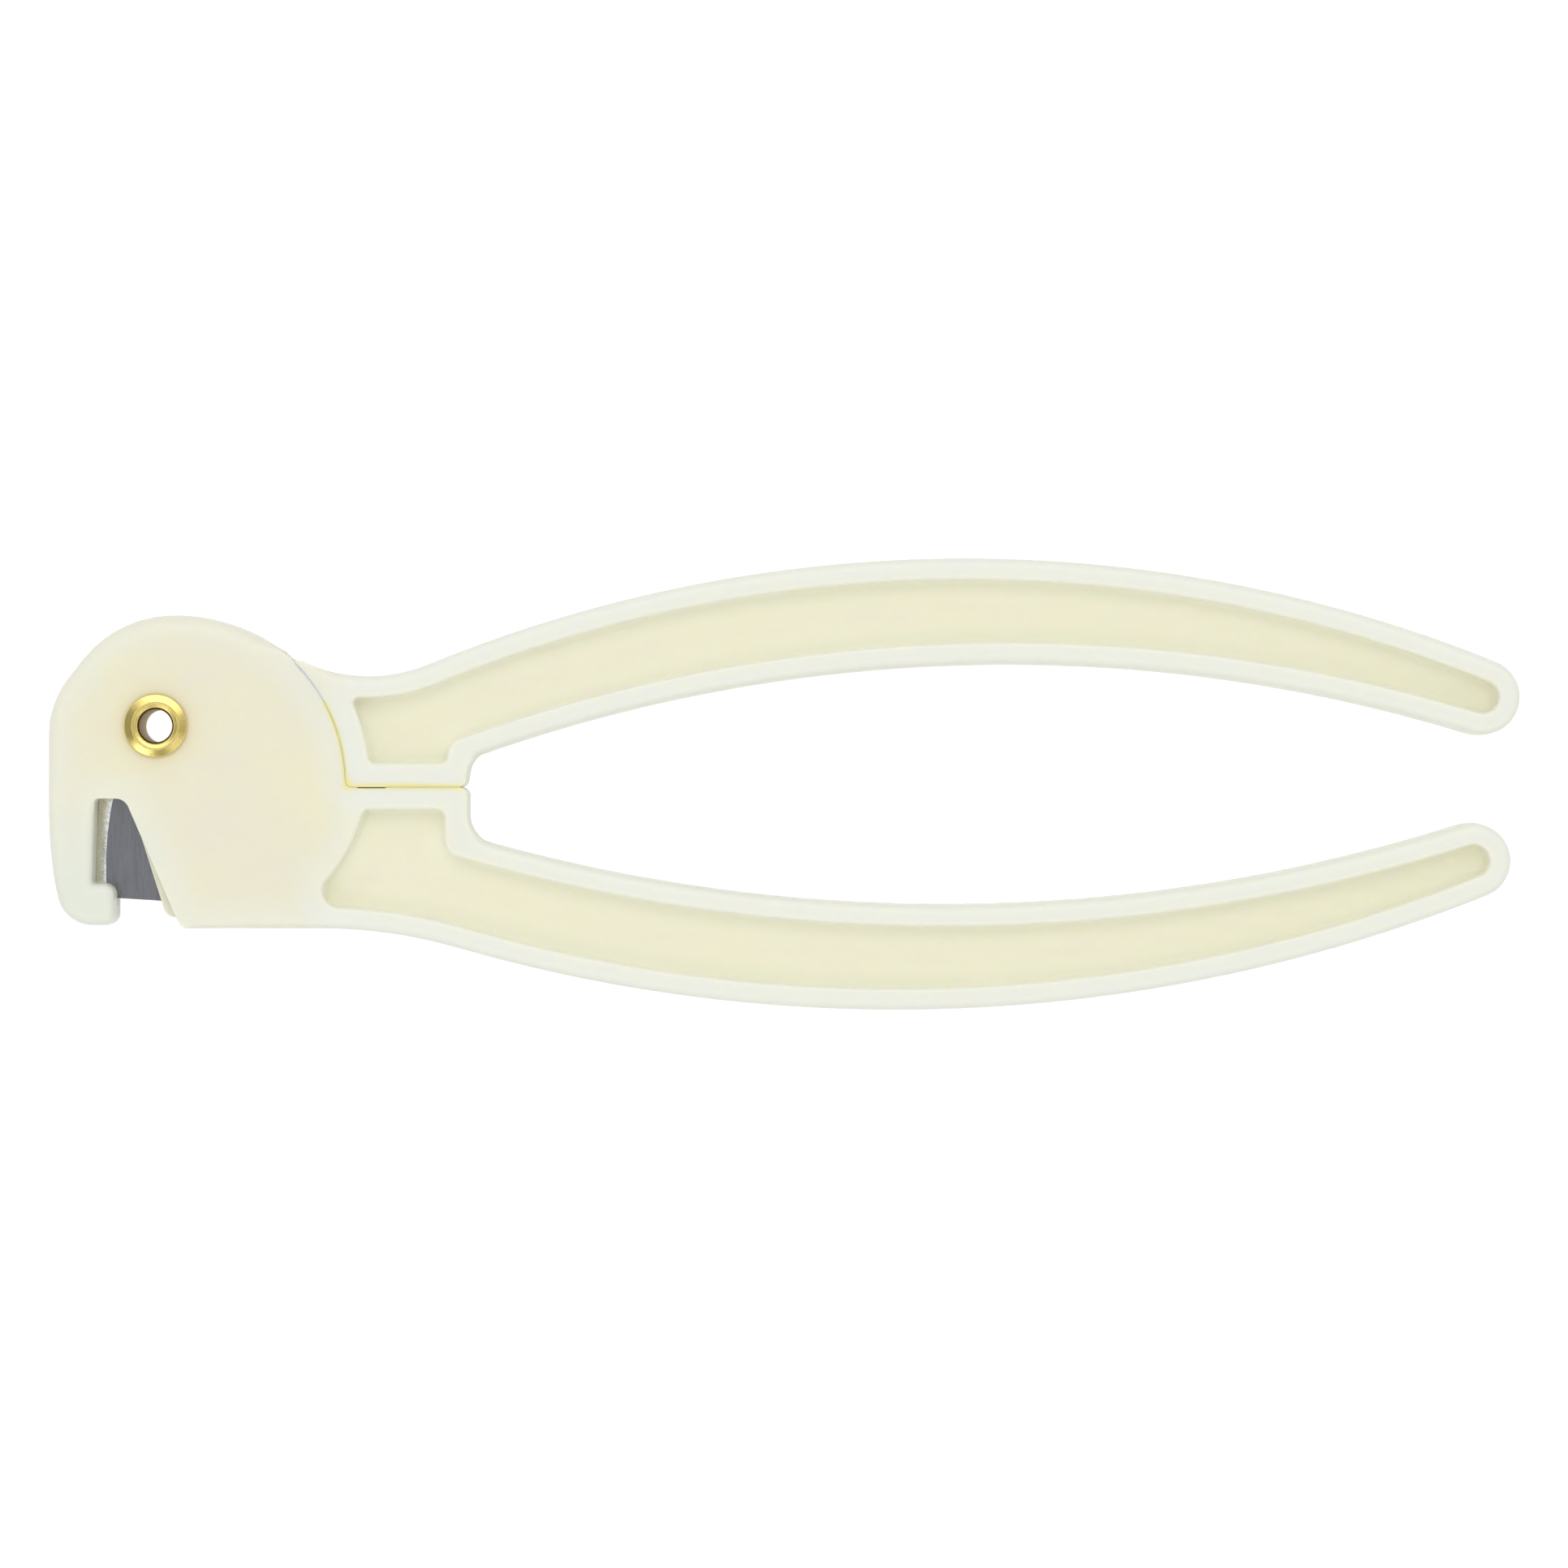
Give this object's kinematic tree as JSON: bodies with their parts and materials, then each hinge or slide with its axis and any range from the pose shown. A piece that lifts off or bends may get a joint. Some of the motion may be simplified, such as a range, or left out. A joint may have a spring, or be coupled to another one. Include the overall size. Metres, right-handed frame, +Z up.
{
  "type": "umbilical cord cutter",
  "caption": "Plier-type cutter for a clamped umbilical cord: bowed plastic grips, a round forked head with a notch for the clamp, a steel blade and a hollow brass pivot.",
  "frame": {"origin": "centre of the bounding box on the plane the tool lies on", "axes": "+X from the head to the grips' ends, +Y towards the blade handle, +Z up from the table to the front face"},
  "size_m": [0.16, 0.0492, 0.0095],
  "materials": {
    "natural_plastic": "satin moulded, cream, slightly translucent",
    "blade_steel": "fine brushed, ground edge",
    "brass": "rolled, lightly scratched"
  },
  "bodies": {
    "anvil_handle": {"anvil_handle": "natural_plastic", "pivot_eyelet": "brass"},
    "blade_handle": {"blade_handle": "natural_plastic", "cutting_blade": "blade_steel"}
  },
  "joints": [
    {"name": "pivot", "type": "hinge", "parent": "anvil_handle", "child": "blade_handle", "pos_m": [-0.06813, 0.00631, 0.0045], "axis": [0, 0, 1], "range_deg": [0, 25]}
  ]
}
